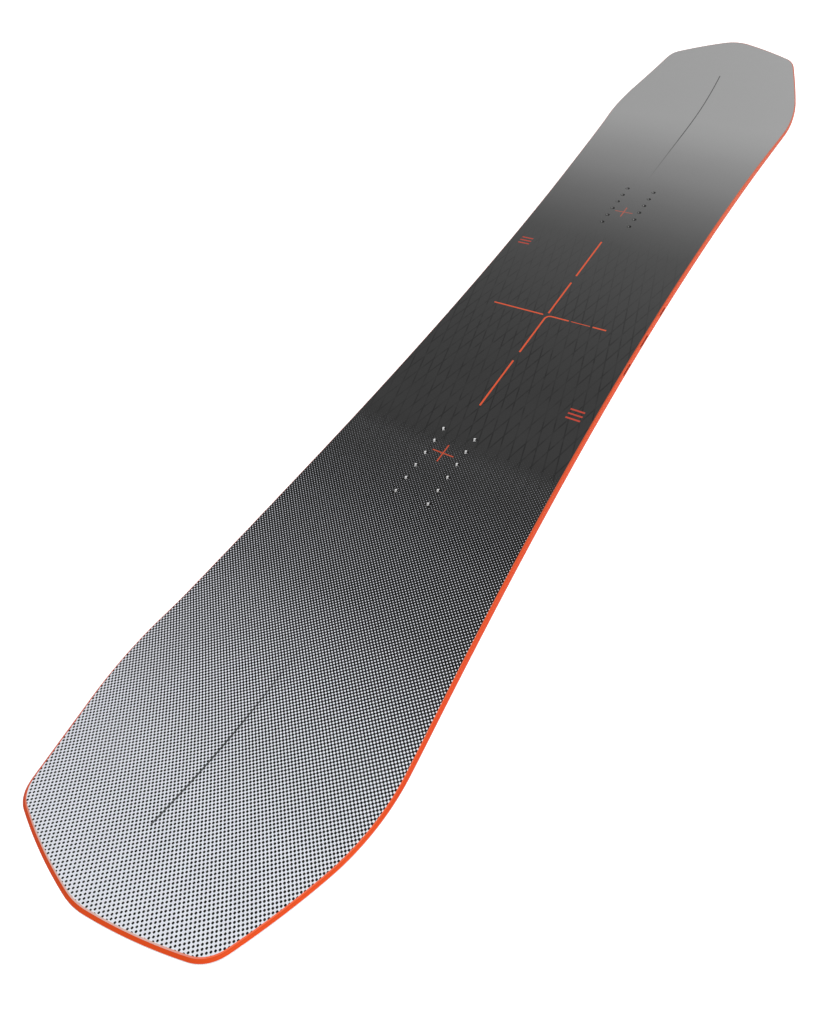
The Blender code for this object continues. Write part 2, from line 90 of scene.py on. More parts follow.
# ---- Layers: heights above the running surface, and depths below the top surface.
GLUE_LINE = 0.15 * MM
BASE_THICKNESS = 1.5 * MM
BASE_RIM_THICKNESS = 0.6 * MM
STEEL_HEIGHT = 2.1 * MM
STEEL_WIDTH = 2.4 * MM
FLANGE_HEIGHTS = (0.75 * MM, 1.15 * MM)
FLANGE_REACH = 8.0 * MM
CORE_BOTTOM = 2.25 * MM
CORE_TOP_DEPTH = 1.3 * MM
TOPSHEET_THICKNESS = 0.5 * MM
FILM_EDGE_EASE = 0.15 * MM

# ---- Plastic rim: side walls between two tip spacers.
RIM_INSET = 2.0 * MM
RIM_INSET_PER_THICKNESS = 0.16
KNEE_HEIGHT_SHARE = 0.83
KNEE_INSET_SHARE = 0.55
KNEE_ROUNDING_SHARE = 0.03
SIDE_WALL_LIP = 6.0 * MM
SIDE_WALL_WIDTH = 9.0 * MM
CORE_END_TAIL_X = -600 * MM
CORE_END_NOSE_X = 620 * MM
SPACER_GAP = 1.0 * MM
RIM_JOINT = 0.15 * MM
BUTT_GAP = 0.3 * MM
WALL_SLOTS = ((67 * MM, 17 * MM), (4 * MM, 24 * MM), (-52 * MM, 22 * MM))
SLOT_HEIGHT = 2.4 * MM
SLOT_DEPTH = 0.7 * MM
SLOT_MIDDLE = 4.9 * MM
SLOT_SEGMENTS = 24

# ---- Rim colours along the board, as (x in mm, screen colour).
RIM_TONES = (
    (-760, (204, 70, 24)), (-500, (198, 69, 25)), (-300, (188, 68, 27)), (100, (188, 74, 36)),
    (350, (188, 86, 52)), (700, (190, 99, 78)),
)
# Painted highlight and painted shade of the film's eased edge, as colours along the board.
# The film's cut edge: pale at the tail's end, orange along the tail, dark in the middle, dull at the nose.
FILM_EDGE_LIGHT_AND_SHADE_TONES = (
    (-760, (206, 176, 168)), (-742, (206, 172, 162)), (-732, (222, 96, 58)), (-600, (220, 92, 54)),
    (-450, (200, 90, 60)), (-150, (150, 66, 46)), (200, (142, 70, 54)), (500, (168, 112, 98)),
    (790, (168, 140, 132)),
)
FILM_EDGE_STAIN = 0.15
# Below the bevel the rim is painted a deeper orange as shade; the shade fades over this range of the
# normal's upward part.
SHADE_AND_STAIN_ORANGE = (176, 44, 6)
PAINTED_SHADE_SHARE = 0.35
BEVEL_FACING = (0.5, 0.62)
RIM_MOTTLE = 0.12
SLOT_COLOUR = (84, 20, 14)

# ---- Inserts.
BARREL_RADIUS = 4.0 * MM
FLANGE_RADIUS = 7.4 * MM
FLANGE_THICKNESS = 0.8 * MM
THREAD_MAJOR = 2.9 * MM
THREAD_MINOR = 2.45 * MM
THREAD_PITCH = 1.0 * MM
MOUTH_CHAMFER = 0.5 * MM
BORE_FLOOR = 1.2 * MM
DRILL_POINT = 0.8 * MM
GROOVE_DEPTH = 0.25 * MM
GROOVE_HEIGHT_SHARES = (0.65, 0.4)
INSERT_SEGMENTS = 24
THREAD_ROWS_PER_PITCH = 4
# Painted shade down the bores: darker greys in the rear pack, lighter ones in the front pack.
REAR_BORE_SHADE_GREYS = (38, 58)
FRONT_BORE_SHADE_GREYS = (80, 94)
# A painted glint: a bright, glowing streak on the part of each rear bore's wall that faces one fixed way.
PAINTED_GLINT_FACING = (-0.80, -0.60, 0.0)
PAINTED_GLINT_SPREAD = (0.70, 0.84)
PAINTED_GLINT_GREY = 240
PAINTED_GLINT_GLOW = 0.45
HOLE_RADIUS = 3.1 * MM
HOLE_SEGMENTS = 48

# ---- Printed graphic, in millimetres on the board.
PRINT_START_X = -760.0
PRINT_END_X = 790.0
DOT_FREQUENCY = 0.256
DOT_SOFTNESS = 0.07
SPOT_SAMPLES = 48
# The ink's share of the dot pattern along the tail half: (x, share).
COVERAGE_STOPS = (
    (-760, 0.27), (-700, 0.37), (-660, 0.42), (-620, 0.51), (-580, 0.60), (-540, 0.675), (-500, 0.755),
    (-460, 0.825), (-420, 0.862), (-380, 0.897), (-340, 0.935), (-300, 0.966), (-260, 0.98), (-225, 1.0),
)
# The nose half's even grey along the board: (x, screen grey).
GREY_STOPS = (
    (-60, 48), (0, 51), (60, 55), (120, 59), (180, 64), (230, 75), (300, 93), (340, 104), (380, 115),
    (420, 123), (460, 131), (500, 140), (540, 147), (580, 151), (790, 152),
)
GREY_TILT = -0.1
NOSE_BLEND = 60.0
INK_GREYS = (43, 48)
DOT_INK_GREY = 16
DOT_INK_FADE = (-350.0, -220.0)
NET_GREY = 28
NET_FREQUENCY = (0.019, 0.0765)
NET_LINE_SHARE = 0.10
NET_FADE = (-60.0, 220.0)
# The net's lines are worn faint in patches, down to the least share of a line.
NET_WEAR = {"scale": 0.06, "detail": 3.0}
NET_WEAR_RANGE = (0.4, 0.6)
NET_LEAST = 0.3
GROUND_COLOURS = ((206, 208, 215), (215, 217, 224))
MARK_COLOUR = (206, 80, 46)
MARK_Y = 0.8
LINE_HALF_WIDTH = 1.1
# The cross hairs: bars from x to x along the board, bars from y to y across it, and one thinner bar across.
LONG_BARS = ((92, 180), (5, 76), (-78, -7), (-180, -95))
CROSS_BARS = ((6, 76), (-29, -7), (-78, -60.5))
THIN_BAR = (-57, -32)
CORNER_RADIUS = 7.0
CROSS_HALF_WIDTH = 0.75
CROSS_ARM = 13.0
# The stance crosses: (x, y, strength of the ink).
CROSS_PLACES = ((-262.0, 2.0, 0.72), (264.5, 1.0, 0.55))
BADGE_PLACES = ((147.0, 102.0), (-149.0, -102.0))
BADGE_HALF_DASH = (1.2, 8.5)
BADGE_PITCH = 7.0
BADGE_COLOUR = (176, 62, 46)
TIP_LINE_HALF_WIDTH = 0.75
TIP_LINE_GREY = 40
TIP_LINE_STRENGTH = 0.85
TAIL_LINE = (-695.0, -600.0, -500.0)
NOSE_LINE = (360.0, 520.0, 716.0)

# ---- Materials: screen colours, noises (scale in features per millimetre), roughness where the noise is
# low and high, and the relief's depth.
NOISE_RANGE = (0.3, 0.7)
PRINT_STREAKS = {"scale": 0.05, "detail": 3.0, "stretch": (0.35, 1.6, 1.0)}
INK_CLOUDS = {"scale": 0.02, "detail": 4.0}
FILM_SHEEN = {"scale": 0.01, "detail": 5.0}
FILM_GRAIN = {"scale": 2.5, "detail": 3.0}
FILM_ROUGHNESS = (0.36, 0.46)
FILM_RELIEF = 0.01 * MM
FILM_SPECULAR = 0.2
FILM_EDGE_SPOTS = {"scale": 0.2, "detail": 3.0}
FILM_EDGE_GRAIN = {"scale": 3.0}
FILM_EDGE_ROUGHNESS = (0.4, 0.55)
RIM_CLOUDS = {"scale": 0.03, "detail": 3.0}
RIM_MILLING = {"scale": 3.0, "stretch": (0.04, 1.0, 1.0)}
RIM_ROUGHNESS = (0.45, 0.6)
RIM_RELIEF = 0.02 * MM
RIM_SPECULAR = 0.1
STEEL_COLOURS = ((176, 178, 181), (206, 207, 209))
STEEL_GRINDING = {"scale": 6.0, "detail": 3.0, "stretch": (0.02, 1.0, 1.0)}
STEEL_ROUGHNESS = (0.22, 0.38)
STEEL_RELIEF = 0.004 * MM
STEEL_EDGE_SOFTNESS = 0.12 * MM
BASE_COLOURS = ((30, 31, 33), (44, 45, 48))
BASE_MOTTLE = {"scale": 0.4, "detail": 4.0, "roughness": 0.6}
BASE_GRINDING = {"scale": 2.2, "stretch": (0.02, 1.0, 1.0)}
BASE_ROUGHNESS = (0.30, 0.44)
BASE_RELIEF = 0.012 * MM
INSERT_TURNING = {"scale": 8.0}
INSERT_ROUGHNESS = (0.3, 0.45)
POPLAR_COLOURS = ((226, 203, 164), (188, 152, 104))
POPLAR_RING_PERIOD = 5.0
BEECH_COLOURS = ((205, 160, 118), (160, 108, 70))
BEECH_RING_PERIOD = 2.6
RING_BEND = {"scale": 0.012, "stretch": (0.15, 1.0, 1.0)}
RING_BEND_PERIODS = 3
RING_SHARE = 0.45
WOOD_FIBRES = {"scale": 1.6, "detail": 4.0, "roughness": 0.65, "stretch": (0.03, 1.0, 1.0)}
WOOD_FIBRE_SHARE = 0.6
WOOD_ROUGHNESS = (0.55, 0.72)
WOOD_RELIEF = 0.03 * MM
GLASS_COLOURS = ((176, 186, 150), (214, 218, 190))
GLASS_TURNS = (0, 45, -45)
GLASS_PERIOD = 2.4
GLASS_ROUGHNESS = (0.3, 0.45)
GLASS_RELIEF = 0.05 * MM
CARBON_COLOURS = ((24, 24, 26), (52, 52, 56))
CARBON_PERIOD = 4.0
CARBON_FIBRES = {"scale": 5.0, "stretch": (0.1, 1.0, 1.0)}
CARBON_FIBRE_SHARE = 0.6
CARBON_ROUGHNESS = (0.26, 0.44)
CARBON_RELIEF = 0.06 * MM
RUBBER_COLOURS = ((26, 26, 26), (44, 44, 43))
RUBBER_GRAIN = {"scale": 3.0, "detail": 3.0}
RUBBER_ROUGHNESS = (0.7, 0.85)
RUBBER_RELIEF = 0.03 * MM

# ---- Sampling.
TIP_STEP = 4 * MM
MIDDLE_STEP = 12 * MM
ROUNDING_STEPS = 16
MERGE_DISTANCE = 1e-6
SHARP_ANGLE = math.radians(30)
CUT_MARGIN = 5 * MM

# ---- Floor and light.
FLOOR_SIZE = 60.0
FLOOR_DROP = 0.2 * MM
FLOOR_GREYS = (250, 253)
FLOOR_CLOUDS = {"scale": 0.002}
FLOOR_ROUGHNESS = 0.9
FLOOR_GLOW = 0.5
WORLD_STRENGTH = 0.56
KEY_PLACE = (-0.2, -1.5, 1.9)
KEY_SIZE = 1.4
KEY_POWER = 48.0

# ---- Camera: its place over the board, its turn in degrees, and its lens and sensor in millimetres.
CAMERA_PLACE = (-0.63584, -0.26323, 0.51814)
CAMERA_TURN = (36.358, 6.830, -57.933)
CAMERA_LENS = 21.796
CAMERA_SENSOR = 36.0
CAMERA_NEAR = 0.01


# ================ the board's shape
def rise(run, terms):
    return terms[0] * run ** 2 + terms[1] * run ** 3


def rise_slope(run, terms):
    return 2 * terms[0] * run + 3 * terms[1] * run ** 2


def running_surface(x):
    """Height and slope of the base's running surface at x."""
    if x > NOSE_CONTACT_X:
        run = x - NOSE_CONTACT_X
        return rise(run, NOSE_RISE), rise_slope(run, NOSE_RISE)
    if x < TAIL_CONTACT_X:
        run = TAIL_CONTACT_X - x
        return rise(run, TAIL_RISE), -rise_slope(run, TAIL_RISE)
    return 0.0, 0.0


def thickness(x):
    t = (abs(x) - TAPER_START_X) / (TAPER_END_X - TAPER_START_X)
    t = min(max(t, 0.0), 1.0)
    return MIDDLE_THICKNESS + (TIP_THICKNESS - MIDDLE_THICKNESS) * t * t * (3 - 2 * t)


def place(x, y, height):
    """The point above (x, y) on the running surface, height away from it along its normal."""
    z, slope = running_surface(x)
    angle = math.atan(slope)
    return Vector((x - height * math.sin(angle), y, z + height * math.cos(angle)))


def from_base(height):
    return lambda x: height


def from_top(depth):
    return lambda x: thickness(x) - depth


def fixed(inset):
    return lambda x: inset


def knee(x):
    """The level where the side wall's face turns into the bevel."""
    return thickness(x) * KNEE_HEIGHT_SHARE


def leans(x):
    """How far the rim's face and its bevel lean in per height, at x."""
    total = RIM_INSET + RIM_INSET_PER_THICKNESS * thickness(x)
    wall_lean = total * KNEE_INSET_SHARE / (knee(x) - CORE_BOTTOM)
    bevel_lean = total * (1 - KNEE_INSET_SHARE) / (thickness(x) - knee(x))
    return wall_lean, bevel_lean


def around_knee(share):
    """A level close to the knee: share runs from -1 to 1 over the knee's rounding."""
    return lambda x: knee(x) + share * KNEE_ROUNDING_SHARE * thickness(x)


def lean_at(level, extra=0.0):
    """How far the rim's face stands in from the outline at a level, with a rounded knee."""
    def inset(x):
        rounding = KNEE_ROUNDING_SHARE * thickness(x)
        over = level(x) - knee(x)
        if over <= -rounding:
            turned = 0.0
        elif over >= rounding:
            turned = over
        else:
            turned = (over + rounding) ** 2 / (4 * rounding)
        wall_lean, bevel_lean = leans(x)
        return wall_lean * (level(x) - CORE_BOTTOM) + (bevel_lean - wall_lean) * turned + extra
    return inset


def sidecut(x):
    return Vector((x, WAIST_HALF_WIDTH + (x - WAIST_X) ** 2 / (2 * SIDECUT_RADIUS)))


def facet(start, end, bulge):
    """A nearly straight side between two corners, bulging out by its middle, as a function of 0 to 1."""
    along = end - start
    outward = Vector((-along.y, along.x)).normalized()
    return lambda t: start + along * t + outward * (4 * bulge * t * (1 - t))


def side_length(side):
    return (side(1.0) - side(0.0)).length


def rounded_corner(before, corner, after, first_t=0.0):
    """Points of a quadratic curve that rounds a corner off."""
    points = []
    for i in range(ROUNDING_STEPS + 1):
        t = first_t + (1 - first_t) * i / ROUNDING_STEPS
        points.append(before * (1 - t) ** 2 + corner * (2 * t * (1 - t)) + after * t ** 2)
    return points


def rounded_tip(tip, facet_start):
    """The left half of a tip's rounding, from the middle line to where the facet starts."""
    mirrored = Vector((facet_start.x, -facet_start.y))
    return rounded_corner(mirrored, tip, facet_start, first_t=0.5)


def outline_sides():
    """The corners of the left half, from the tail's tip to the nose's, and the sides between them."""
    corners = [
        Vector((TAIL_TIP_X, 0.0)), Vector(TAIL_SHOULDER), sidecut(TAIL_WIDE_X),
        sidecut(NOSE_WIDE_X), Vector(NOSE_SHOULDER), Vector((NOSE_TIP_X, 0.0)),
    ]
    sides = [
        facet(corners[0], corners[1], TAIL_BULGE[0]),
        facet(corners[1], corners[2], TAIL_BULGE[1]),
        lambda t: sidecut(TAIL_WIDE_X + (NOSE_WIDE_X - TAIL_WIDE_X) * t),
        facet(corners[3], corners[4], NOSE_BULGE[1]),
        facet(corners[4], corners[5], NOSE_BULGE[0]),
    ]
    return corners, sides


def half_outline():
    """The left half of the outline, from the tail's tip to the nose's tip."""
    corners, sides = outline_sides()
    reaches = TAIL_ROUNDING + NOSE_ROUNDING[::-1]
    steps = [TIP_STEP, TIP_STEP, MIDDLE_STEP, TIP_STEP, TIP_STEP]
    points = []
    for i, side in enumerate(sides):
        length = side_length(side)
        start_t = reaches[i] / length
        end_t = 1 - reaches[i + 1] / length
        if i == 0:
            points += rounded_tip(corners[0], side(start_t))
        count = max(1, round(length * (end_t - start_t) / steps[i]))
        points += [side(start_t + (end_t - start_t) * k / count) for k in range(1, count)]
        arriving = side(end_t)
        if i + 1 < len(sides):
            leaving = sides[i + 1](reaches[i + 1] / side_length(sides[i + 1]))
            points += rounded_corner(arriving, corners[i + 1], leaving)
        else:
            points += reversed(rounded_tip(corners[-1], arriving))
    points[0].y = 0.0
    points[-1].y = 0.0
    return points


def stations():
    """The outline's points, each with the unit vector that points straight into the board."""
    points = half_outline()
    mirrored_first = Vector((points[1].x, -points[1].y))
    mirrored_last = Vector((points[-2].x, -points[-2].y))
    padded = [mirrored_first] + points + [mirrored_last]
    result = []
    for before, point, after in zip(padded, points, padded[2:]):
        along = (after - before).normalized()
        result.append((point, Vector((along.y, -along.x))))
    return result


def inset_point(station, inset, level, side=1):
    """A station's point, moved into the board by an inset and up to a level; side -1 is the right half."""
    point, inward = station
    edge = point + inward * inset(point.x)
    return place(edge.x, side * edge.y, level(edge.x))


def between(all_stations, start_x, end_x):
    """The stations from start_x to end_x, with a new one at each of these two places."""
    def cut(x):
        for first, second in zip(all_stations, all_stations[1:]):
            if first[0].x <= x <= second[0].x:
                t = (x - first[0].x) / (second[0].x - first[0].x)
                return first[0].lerp(second[0], t), first[1].lerp(second[1], t).normalized()
        return None
    inner = [s for s in all_stations if start_x + MM < s[0].x < end_x - MM]
    start = [cut(start_x)] if start_x > all_stations[0][0].x else [all_stations[0]]
    end = [cut(end_x)] if end_x < all_stations[-1][0].x else [all_stations[-1]]
    return start + inner + end


# ================ making pieces
def smooth_mesh(name, shape, material):
    """Turn a bmesh into a mesh that is smooth but for its sharp edges."""
    mesh = bpy.data.meshes.new(name)
    shape.to_mesh(mesh)
    shape.free()
    mesh.materials.append(material)
    mesh.shade_smooth()
    mesh.set_sharp_from_angle(angle=SHARP_ANGLE)
    return mesh


def add_piece(name, mesh, node, location=(0.0, 0.0, 0.0)):
    """A piece that rides on the board and stands for a CAD node, which it hides."""
    piece = bpy.data.objects.new(name, mesh)
    bpy.context.scene.collection.objects.link(piece)
    piece.location = location
    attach(piece, BODY)
    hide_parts(node)
    return piece


def bridge(shape, loops):
    """Join each ring of vertices to the next one with a band of faces."""
    size = len(loops[0])
    for first, second in zip(loops, loops[1:]):
        for k in range(size):
            after = (k + 1) % size
            shape.faces.new((first[k], first[after], second[after], second[k]))


def loft(rings):
    """One closed solid through a row of rings; rings that close on a line are merged shut."""
    shape = bmesh.new()
    loops = [[shape.verts.new(point) for point in ring] for ring in rings]
    bridge(shape, loops)
    for loop in (loops[0], loops[-1]):
        if max(abs(vert.co.y) for vert in loop) > MERGE_DISTANCE:
            shape.faces.new(loop)
    bmesh.ops.remove_doubles(shape, verts=shape.verts, dist=MERGE_DISTANCE)
    bmesh.ops.recalc_face_normals(shape, faces=shape.faces)
    return shape


def plate(row, section):
    """A layer across the board: the section lists (inset, level) up its left edge."""
    rings = []
    for station in row:
        left = [inset_point(station, inset, level) for inset, level in section]
        right = [inset_point(station, inset, level, side=-1) for inset, level in reversed(section)]
        rings.append(left + right)
    return loft(rings)


def ribbon(row, section, side):
    """A strip that follows one edge: the section lists (inset, level) around its cut end."""
    rings = []
    for station in row:
        ring = [inset_point(station, inset, level, side) for inset, level in section]
        for point in ring:
            point.y = side * max(side * point.y, BUTT_GAP / 2)
        rings.append(ring)
    return loft(rings)


def cut_away(piece, cutter_shape):
    """Cut a closed bmesh out of a piece, for good, and drop the cutter."""
    mesh = bpy.data.meshes.new("cutter")
    cutter_shape.to_mesh(mesh)
    cutter_shape.free()
    cutter = bpy.data.objects.new("cutter", mesh)
    bpy.context.scene.collection.objects.link(cutter)
    boolean = piece.modifiers.new("cut", "BOOLEAN")
    boolean.operation = "DIFFERENCE"
    boolean.solver = "MANIFOLD"
    boolean.object = cutter
    graph = bpy.context.evaluated_depsgraph_get()
    piece.data = bpy.data.meshes.new_from_object(piece.evaluated_get(graph))
    piece.modifiers.clear()
    bpy.data.objects.remove(cutter, do_unlink=True)
    piece.data.set_sharp_from_angle(angle=SHARP_ANGLE)


def soften_edges(piece, width):
    bevel = piece.modifiers.new("soft_edges", "BEVEL")
    bevel.width = width
    bevel.segments = 2
    bevel.limit_method = "ANGLE"
    bevel.angle_limit = SHARP_ANGLE
    bevel.harden_normals = True


def keep_faces_flat(piece):
    piece.modifiers.new("flat_faces", "WEIGHTED_NORMAL").keep_sharp = True


# ================ material nodes
def srgb(red, green, blue):
    """A colour given by its 0 to 255 screen values, as linear red, green, blue, alpha."""
    def linear(value):
        share = value / 255
        return share / 12.92 if share <= 0.04045 else ((share + 0.055) / 1.055) ** 2.4
    return linear(red), linear(green), linear(blue), 1.0


def grey(level):
    return srgb(level, level, level)


def share_along_print(x):
    return (x - PRINT_START_X) / (PRINT_END_X - PRINT_START_X)


class Surface:
    """One material under construction: short calls add nodes; a number may stand for a socket."""

    def __init__(self, name):
        self.material = bpy.data.materials.new(name)
        self.material.use_nodes = True
        self.tree = self.material.node_tree
        self.shader = self.tree.nodes["Principled BSDF"]
        coordinates = self.add("ShaderNodeTexCoord")
        self.place = self.stretched(coordinates.outputs["Object"], (1 / MM, 1 / MM, 1 / MM))
        split = self.add("ShaderNodeSeparateXYZ")
        self.put(self.place, split.inputs[0])
        self.x, self.y, self.z = split.outputs

    def add(self, kind, **settings):
        node = self.tree.nodes.new(kind)
        for name, value in settings.items():
            setattr(node, name, value)
        return node

    def put(self, value, socket):
        if isinstance(value, bpy.types.NodeSocket):
            self.tree.links.new(value, socket)
        else:
            socket.default_value = value

    def stretched(self, vector, scale):
        node = self.add("ShaderNodeMapping")
        self.put(vector, node.inputs["Vector"])
        node.inputs["Scale"].default_value = scale
        return node.outputs["Vector"]

    def math(self, operation, *values):
        node = self.add("ShaderNodeMath", operation=operation)
        for value, socket in zip(values, node.inputs):
            self.put(value, socket)
        return node.outputs[0]

    def plus(self, first, second):
        return self.math("ADD", first, second)

    def minus(self, first, second):
        return self.math("SUBTRACT", first, second)

    def times(self, first, second):
        return self.math("MULTIPLY", first, second)

    def remap(self, value, from_low, from_high, to_low, to_high, smooth=False):
        node = self.add("ShaderNodeMapRange")
        node.interpolation_type = "SMOOTHSTEP" if smooth else "LINEAR"
        for item, socket in zip((value, from_low, from_high, to_low, to_high), node.inputs):
            self.put(item, socket)
        return node.outputs["Result"]

    def spread(self, grain, low, high):
        """A grain's usual values stretched to run from low to high."""
        return self.remap(grain, *NOISE_RANGE, low, high)

    def mix(self, share, first, second):
        node = self.add("ShaderNodeMix", data_type="RGBA")
        self.put(share, node.inputs["Factor"])
        colours = [socket for socket in node.inputs if socket.type == "RGBA"]
        self.put(first, colours[0])
        self.put(second, colours[1])
        return next(socket for socket in node.outputs if socket.type == "RGBA")

    def tone(self, share, colours):
        """A blend between two screen colours."""
        return self.mix(share, *[srgb(*colour) for colour in colours])

    def shade(self, share, levels):
        """A blend between two screen greys."""
        return self.mix(share, *[grey(level) for level in levels])

    def noise(self, scale, detail=2.0, roughness=0.5, stretch=None):
        """Noise from 0 to 1; scale counts features per millimetre."""
        node = self.add("ShaderNodeTexNoise")
        source = self.place if stretch is None else self.stretched(self.place, stretch)
        self.put(source, node.inputs["Vector"])
        node.inputs["Scale"].default_value = scale
        node.inputs["Detail"].default_value = detail
        node.inputs["Roughness"].default_value = roughness
        return node.outputs["Fac"]

    def wave(self, coordinate, period):
        """A cosine of one coordinate, -1 to 1, with a period in millimetres."""
        return self.math("COSINE", self.times(coordinate, 2 * math.pi / period))

    def colour_ramp(self, value, stops):
        """A colour curve through (position 0 to 1, colour) stops."""
        node = self.add("ShaderNodeValToRGB")
        elements = node.color_ramp.elements
        while len(elements) < len(stops):
            elements.new(0.5)
        for element, (position, colour) in zip(elements, stops):
            element.position = position
            element.color = colour
        self.put(value, node.inputs[0])
        return node.outputs[0]

    def ramp(self, value, stops):
        """A curve through (position 0 to 1, value 0 to 1) stops."""
        return self.colour_ramp(value, [(position, (level, level, level, 1.0)) for position, level in stops])

    def along_print(self, x):
        """Where an x in millimetres lies along the print, 0 to 1."""
        return self.remap(x, PRINT_START_X, PRINT_END_X, 0.0, 1.0)

    def tone_along(self, tones):
        """A colour that changes along the board through (x in mm, screen colour) tones."""
        stops = [(share_along_print(x), srgb(*colour)) for x, colour in tones]
        return self.colour_ramp(self.along_print(self.x), stops)

    def spots(self, period):
        """A checkerboard of cosine spots, -1 to 1, with a period in millimetres."""
        return self.times(self.wave(self.x, period), self.wave(self.y, period))

    def bar(self, x, y, half_x, half_y):
        """1 inside an upright rectangle about (x, y) seen from above, else 0; millimetres."""
        inside_x = self.math("COMPARE", self.x, x, half_x)
        inside_y = self.math("COMPARE", self.y, y, half_y)
        return self.times(inside_x, inside_y)

    def box(self, low_x, high_x, low_y, high_y):
        """The same for a rectangle given by its sides."""
        half_x = (high_x - low_x) / 2
        half_y = (high_y - low_y) / 2
        return self.bar(low_x + half_x, low_y + half_y, half_x, half_y)

    def union(self, masks):
        joined = masks[0]
        for mask in masks[1:]:
            joined = self.math("MAXIMUM", joined, mask)
        return joined

    def bump(self, height, depth):
        """Relief from a 0 to 1 height map, depth in metres."""
        node = self.add("ShaderNodeBump")
        self.put(height, node.inputs["Height"])
        node.inputs["Strength"].default_value = 1.0
        node.inputs["Distance"].default_value = depth
        return node.outputs["Normal"]

    def finish(self, colour, roughness, metallic=0.0, relief=None, **others):
        self.put(colour, self.shader.inputs["Base Color"])
        self.put(roughness, self.shader.inputs["Roughness"])
        self.put(metallic, self.shader.inputs["Metallic"])
        if relief is not None:
            self.put(relief, self.shader.inputs["Normal"])
        for name, value in others.items():
            self.put(value, self.shader.inputs[name.replace("_", " ")])
        return self.material


# ================ the printed topsheet
def spot_threshold(coverage):
    """The height of the cosine dot pattern that leaves this share of its area above."""
    if coverage >= 1.0:
        return -1.0 - DOT_SOFTNESS
    steps = [math.cos(math.pi * (k + 0.5) / SPOT_SAMPLES) for k in range(SPOT_SAMPLES)]
    heights = sorted(a * b for a in steps for b in steps)
    return heights[round((1 - coverage) * (len(heights) - 1))]


def halftone_ink(surface):
    """1 on the ink of the dot pattern, 0 on the light ground between."""
    reach = 1 + DOT_SOFTNESS
    stops = [
        (share_along_print(x), (spot_threshold(coverage) + reach) / (2 * reach))
        for x, coverage in COVERAGE_STOPS
    ]
    height = surface.ramp(surface.along_print(surface.x), stops)
    threshold = surface.remap(height, 0.0, 1.0, -reach, reach)
    above = surface.minus(surface.spots(1 / DOT_FREQUENCY), threshold)
    return surface.remap(above, -DOT_SOFTNESS, DOT_SOFTNESS, 0.0, 1.0, smooth=True)


def net_lines(surface):
    """Two crossing families of fine lines that form long diamonds, 0 to 1."""
    families = []
    for lean in (1, -1):
        along = surface.times(surface.x, NET_FREQUENCY[0])
        across = surface.times(surface.y, lean * NET_FREQUENCY[1])
        turns = surface.math("FRACT", surface.plus(along, across))
        offset = surface.math("ABSOLUTE", surface.minus(turns, 0.5))
        families.append(surface.remap(offset, 0.0, NET_LINE_SHARE, 1.0, 0.0, smooth=True))
    return surface.union(families)


def crosshair(surface):
    """The broken orange cross hairs in the middle of the board, with one rounded inner corner."""
    w = LINE_HALF_WIDTH
    bars = [surface.box(low, high, MARK_Y - w, MARK_Y + w) for low, high in LONG_BARS]
    bars += [surface.box(-w, w, low, high) for low, high in CROSS_BARS]
    bars.append(surface.box(-w / 2, w / 2, *THIN_BAR))
    turn_x = surface.plus(surface.x, CORNER_RADIUS)
    turn_y = surface.plus(surface.y, CORNER_RADIUS - MARK_Y)
    squares = surface.plus(surface.times(turn_x, turn_x), surface.times(turn_y, turn_y))
    ring = surface.math("COMPARE", surface.math("SQRT", squares), CORNER_RADIUS, w)
    quarter = surface.box(-CORNER_RADIUS, w, -CORNER_RADIUS, MARK_Y + w)
    bars.append(surface.times(ring, quarter))
    return surface.union(bars)


def stance_crosses(surface):
    """A small plus sign inside each insert pack."""
    w = CROSS_HALF_WIDTH
    masks = []
    for x, y, strength in CROSS_PLACES:
        cross = surface.union([surface.bar(x, y, CROSS_ARM, w), surface.bar(x, y, w, CROSS_ARM)])
        masks.append(surface.times(cross, strength))
    return surface.union(masks)


def badges(surface):
    """Two small plain badges of three short dashes, near the board's edges."""
    masks = []
    for x, y in BADGE_PLACES:
        masks += [surface.bar(x + row * BADGE_PITCH, y, *BADGE_HALF_DASH) for row in (-1, 0, 1)]
    return surface.union(masks)


def tip_lines(surface):
    """Thin dark lines down the middle of both tips, fading out towards the board's middle."""
    on_line = surface.math("COMPARE", surface.y, MARK_Y, TIP_LINE_HALF_WIDTH)
    tail_start, tail_full, tail_end = TAIL_LINE
    nose_end, nose_full, nose_start = NOSE_LINE
    tail_fade = surface.remap(surface.x, tail_full, tail_end, 1.0, 0.0)
    tail = surface.times(surface.math("GREATER_THAN", surface.x, tail_start), tail_fade)
    nose_fade = surface.remap(surface.x, nose_end, nose_full, 0.0, 1.0)
    nose = surface.times(surface.math("LESS_THAN", surface.x, nose_start), nose_fade)
    return surface.times(on_line, surface.math("MAXIMUM", tail, nose))


def worn_net(surface):
    """The diamond net, which fades out towards the nose and is worn faint in patches, 0 to 1."""
    wear = surface.remap(surface.noise(**NET_WEAR), *NET_WEAR_RANGE, NET_LEAST, 1.0)
    net = surface.times(net_lines(surface), surface.remap(surface.x, *NET_FADE, 1.0, 0.0))
    return surface.times(net, wear)


def tail_half(surface, net):
    """Dark dots that thin out towards the tail over a pale, streaky ground."""
    ground = surface.tone(surface.noise(**PRINT_STREAKS), GROUND_COLOURS)
    ink = surface.shade(surface.noise(**INK_CLOUDS), INK_GREYS)
    ink = surface.mix(surface.remap(surface.x, *DOT_INK_FADE, 1.0, 0.0), ink, grey(DOT_INK_GREY))
    ink = surface.mix(net, ink, grey(NET_GREY))
    return surface.mix(halftone_ink(surface), ground, ink)


def nose_half(surface, net):
    """An even grey that gets paler towards the nose, slightly askew."""
    stops = [(share_along_print(x), grey(level)[0]) for x, level in GREY_STOPS]
    tilted_x = surface.plus(surface.x, surface.times(surface.y, GREY_TILT))
    even_grey = surface.ramp(surface.along_print(tilted_x), stops)
    return surface.mix(net, even_grey, grey(NET_GREY))


